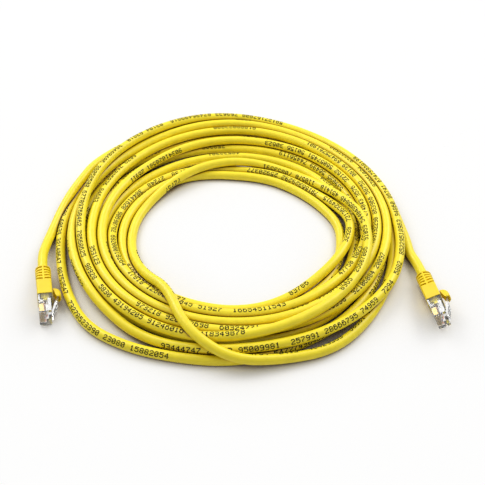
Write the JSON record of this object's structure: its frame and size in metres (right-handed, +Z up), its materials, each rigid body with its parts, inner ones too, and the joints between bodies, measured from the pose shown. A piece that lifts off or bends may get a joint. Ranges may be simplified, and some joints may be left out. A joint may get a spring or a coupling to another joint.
{
  "type": "ethernet patch cable",
  "caption": "Wound yellow ethernet patch cable with clear modular plugs, springy latches and ribbed snagless boots at both ends.",
  "frame": {"origin": "on the table under the middle of the box round both plugs", "axes": "+X from the left plug to the right plug, -Y the way the noses point, +Z up"},
  "size_m": [0.2336, 0.2091, 0.0165],
  "materials": {
    "yellow_jacket": "satin PVC",
    "yellow_boot": "satin soft PVC",
    "clear_plastic": "clear polycarbonate",
    "gold_plate": "gold-plated",
    "copper": "bare copper",
    "white_orange_wire": "satin insulation",
    "orange_wire": "satin insulation",
    "white_green_wire": "satin insulation",
    "blue_wire": "satin insulation",
    "white_blue_wire": "satin insulation",
    "green_wire": "satin insulation",
    "white_brown_wire": "satin insulation",
    "brown_wire": "satin insulation"
  },
  "bodies": {
    "cable": {"left_plug_housing": "clear_plastic", "left_contact_blades": "gold_plate", "left_jacket_end": "yellow_jacket", "left_strain_relief_boot": "yellow_boot", "left_jacket_clamp": "clear_plastic", "left_wire_clamp": "clear_plastic", "left_wire_1": "white_orange_wire", "left_wire_2": "orange_wire", "left_wire_3": "white_green_wire", "left_wire_4": "blue_wire", "left_wire_5": "white_blue_wire", "left_wire_6": "green_wire", "left_wire_7": "white_brown_wire", "left_wire_8": "brown_wire", "left_copper_cores": "copper", "right_plug_housing": "clear_plastic", "right_contact_blades": "gold_plate", "right_jacket_end": "yellow_jacket", "right_strain_relief_boot": "yellow_boot", "right_jacket_clamp": "clear_plastic", "right_wire_clamp": "clear_plastic", "right_wire_1": "white_orange_wire", "right_wire_2": "orange_wire", "right_wire_3": "white_green_wire", "right_wire_4": "blue_wire", "right_wire_5": "white_blue_wire", "right_wire_6": "green_wire", "right_wire_7": "white_brown_wire", "right_wire_8": "brown_wire", "right_copper_cores": "copper", "coil": "yellow_jacket", "lead_right": "yellow_jacket", "lead_left": "yellow_jacket"},
    "left_latch": {"left_locking_tab": "clear_plastic"},
    "left_guard": {"left_latch_guard": "yellow_boot"},
    "right_latch": {"right_locking_tab": "clear_plastic"},
    "right_guard": {"right_latch_guard": "yellow_boot"}
  },
  "joints": [
    {"name": "left_guard_hinge", "type": "hinge", "parent": "cable", "child": "left_guard", "pos_m": [-0.10311, 0.0038, 0.00608], "axis": [0.135, 0.0337, 0.9903], "range_deg": [-15, 0], "stiffness_Nm_per_rad": 0.05},
    {"name": "left_tab_hinge", "type": "hinge", "parent": "cable", "child": "left_latch", "pos_m": [-0.10039, -0.01366, 0.0063], "axis": [0.135, 0.0337, 0.9903], "range_deg": [0, 9]},
    {"name": "right_guard_hinge", "type": "hinge", "parent": "cable", "child": "right_guard", "pos_m": [0.11108, -0.00052, 0.00951], "axis": [-0.417, 0.0761, 0.9057], "range_deg": [-15, 0], "stiffness_Nm_per_rad": 0.05},
    {"name": "right_tab_hinge", "type": "hinge", "parent": "cable", "child": "right_latch", "pos_m": [0.11146, -0.01811, 0.01117], "axis": [-0.417, 0.0761, 0.9057], "range_deg": [0, 9]}
  ],
  "couplings": [
    {"joint": "left_tab_hinge", "follows": "left_guard_hinge", "ratio": -0.4},
    {"joint": "right_tab_hinge", "follows": "right_guard_hinge", "ratio": -0.4}
  ]
}
